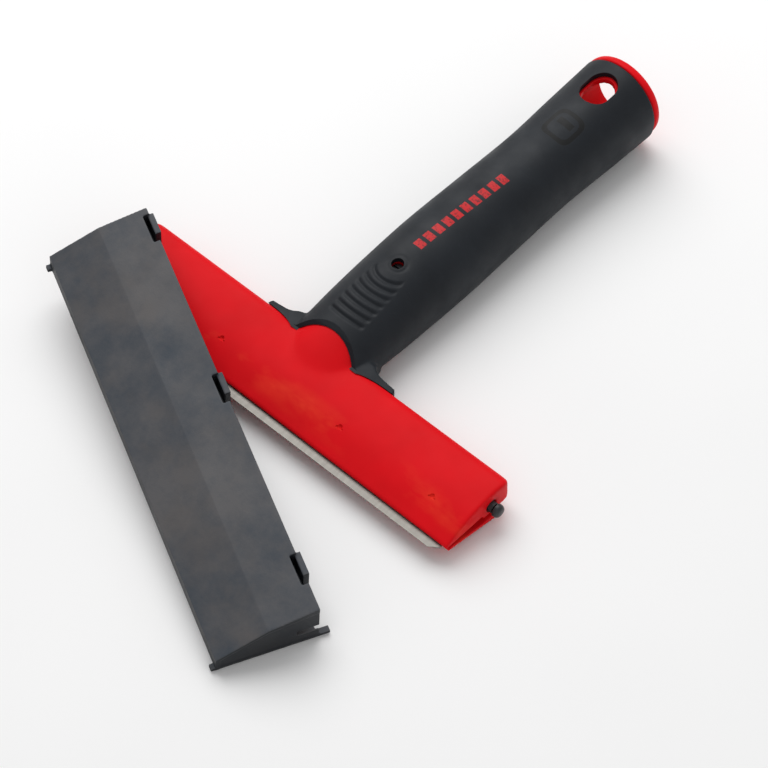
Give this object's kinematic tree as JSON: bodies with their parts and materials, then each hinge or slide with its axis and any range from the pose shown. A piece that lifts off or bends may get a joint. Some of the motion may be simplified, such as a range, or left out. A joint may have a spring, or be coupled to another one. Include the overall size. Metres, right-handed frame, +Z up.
{
  "type": "hand scraper with blade guard",
  "caption": "Wide hand scraper with a replaceable steel blade in a sprung jaw, a rubber-covered handle with a hang hole, and a clip-on blade guard leaning on its head.",
  "frame": {"origin": "centre of the bounding box, on the surface the object lies on", "axes": "+X along the head, +Y from the blade towards the handle's end, +Z up"},
  "size_m": [0.1716, 0.2562, 0.032],
  "materials": {
    "red_plastic": "glossy moulded plastic",
    "black_rubber": "matte soft-touch rubber",
    "grey_plastic": "dull grained plastic",
    "black_plastic": "satin plastic",
    "blade_steel": "ground spring steel",
    "pin_steel": "plain steel",
    "spring_steel": "drawn wire",
    "screw_steel": "blackened steel"
  },
  "bodies": {
    "scraper": {"upper_jaw": "red_plastic", "hinge_rod": "black_plastic", "hinge_rod_cap": "black_plastic", "blade_peg_1": "pin_steel", "blade_peg_2": "pin_steel", "blade_peg_3": "pin_steel", "blade_peg_4": "pin_steel", "jaw_spring_left": "spring_steel", "jaw_spring_right": "spring_steel", "handle_core": "red_plastic", "grip": "black_rubber", "tang_screw": "screw_steel"},
    "jaw": {"lower_jaw": "red_plastic"},
    "blade": {"blade": "blade_steel"},
    "guard": {"guard": "grey_plastic"}
  },
  "joints": [
    {"name": "jaw_hinge", "type": "hinge", "parent": "scraper", "child": "jaw", "pos_m": [0.00354, -0.02807, 0.008], "axis": [1, 0, 0], "range_deg": [0, 8], "stiffness_Nm_per_rad": 0.6, "springref_deg": -8.59, "deforming": ["jaw_spring_left", "jaw_spring_right"]},
    {"name": "blade_slide", "type": "slide", "parent": "scraper", "child": "blade", "axis": [0, -1, 0], "range_m": [0, 0.022]},
    {"name": "guard_lift", "type": "slide", "parent": "scraper", "child": "guard", "axis": [0, 0, 1], "range_m": [0, 0.06]}
  ]
}
